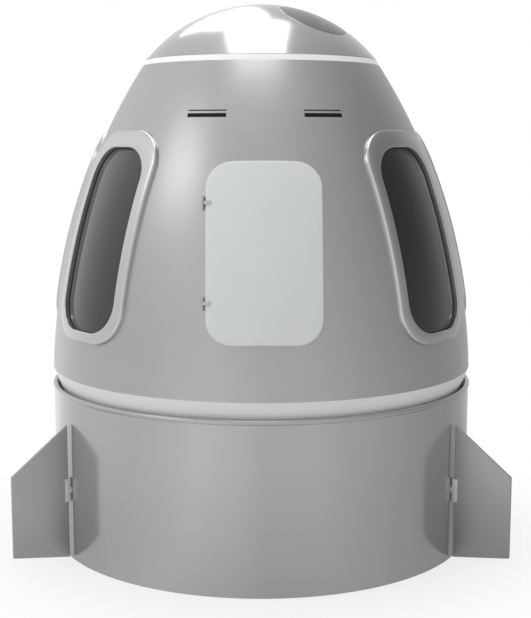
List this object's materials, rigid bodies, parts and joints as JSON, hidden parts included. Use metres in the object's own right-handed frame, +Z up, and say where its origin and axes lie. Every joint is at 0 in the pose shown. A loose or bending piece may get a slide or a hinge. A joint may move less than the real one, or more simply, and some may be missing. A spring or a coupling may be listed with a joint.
{
  "type": "space capsule",
  "caption": "Crewed space capsule with an ogive cabin, large side windows, a hinged side hatch and a domed nose, seated in a cylindrical skirt with swivelling fins.",
  "frame": {"origin": "on the capsule's axis at the skirt's foot, in the plane of the base ring's lower face", "axes": "+Z up along the capsule's axis; -Y towards the side hatch; +X to the right of someone facing the hatch"},
  "size_m": [4.4404, 4.5649, 5.042],
  "materials": {
    "skirt_metal": "satin grey metal",
    "structure": "milled alloy",
    "heat_shield": "charred ablator tiles",
    "motor_metal": "heat-tinted steel",
    "band_paint": "pale satin paint",
    "shell_metal": "pale satin metal",
    "frame_metal": "satin silver",
    "window_glass": "dark tinted",
    "ring_paint": "gloss white",
    "dome_metal": "satin silver",
    "cover_metal": "satin dark grey",
    "cabin_trim": "pale trim",
    "seat_cover": "dark padded cover",
    "fin_metal": "satin dark grey",
    "hatch_paint": "pale grey satin paint",
    "hinge_metal": "satin",
    "handle_metal": "dark satin"
  },
  "bodies": {
    "root": {"skirt_shell": "skirt_metal", "skirt_base_ring": "structure", "skirt_seat_ring": "structure", "skirt_stringers": "structure", "heat_shield": "heat_shield", "retro_motors": "motor_metal", "base_band": "band_paint", "cabin_floor": "cabin_trim", "cabin_shell": "shell_metal", "doorway_frame": "structure", "upper_bulkhead": "cabin_trim", "nose_ring": "ring_paint", "nose_dome": "dome_metal", "drogue_cover": "cover_metal", "centre_column": "cabin_trim", "window_frame_1": "frame_metal", "window_frame_2": "frame_metal", "window_frame_3": "frame_metal", "window_frame_4": "frame_metal", "window_frame_5": "frame_metal", "window_frame_6": "frame_metal", "window_glass_1": "window_glass", "window_glass_2": "window_glass", "window_glass_3": "window_glass", "window_glass_4": "window_glass", "window_glass_5": "window_glass", "window_glass_6": "window_glass", "seat_1": "seat_cover", "seat_2": "seat_cover", "seat_3": "seat_cover", "seat_4": "seat_cover", "seat_5": "seat_cover", "seat_6": "seat_cover", "fin_bearing_1": "structure", "fin_bearing_2": "structure", "fin_bearing_3": "structure", "hatch_hinge_brackets": "hinge_metal"},
    "hatch": {"side_hatch": "hatch_paint", "hatch_hinge_arms": "hinge_metal", "hatch_handle": "handle_metal"},
    "fin_body_1": {"fin_1": "fin_metal", "fin_pivot_1": "fin_metal"},
    "fin_body_2": {"fin_2": "fin_metal", "fin_pivot_2": "fin_metal"},
    "fin_body_3": {"fin_3": "fin_metal", "fin_pivot_3": "fin_metal"}
  },
  "joints": [
    {"name": "hatch_hinge", "type": "hinge", "parent": "root", "child": "hatch", "pos_m": [-0.48145, -1.76205, 2.87439], "axis": [0.0036, -0.2577, -0.9662], "range_deg": [0, 110]},
    {"name": "fin_pivot_joint_1", "type": "hinge", "parent": "root", "child": "fin_body_1", "pos_m": [1.73205, -1, 0.646], "axis": [0.866, -0.5, 0], "range_deg": [-20, 20]},
    {"name": "fin_pivot_joint_2", "type": "hinge", "parent": "root", "child": "fin_body_2", "pos_m": [0, 2, 0.646], "axis": [0, 1, 0], "range_deg": [-20, 20]},
    {"name": "fin_pivot_joint_3", "type": "hinge", "parent": "root", "child": "fin_body_3", "pos_m": [-1.73205, -1, 0.646], "axis": [-0.866, -0.5, 0], "range_deg": [-20, 20]}
  ]
}
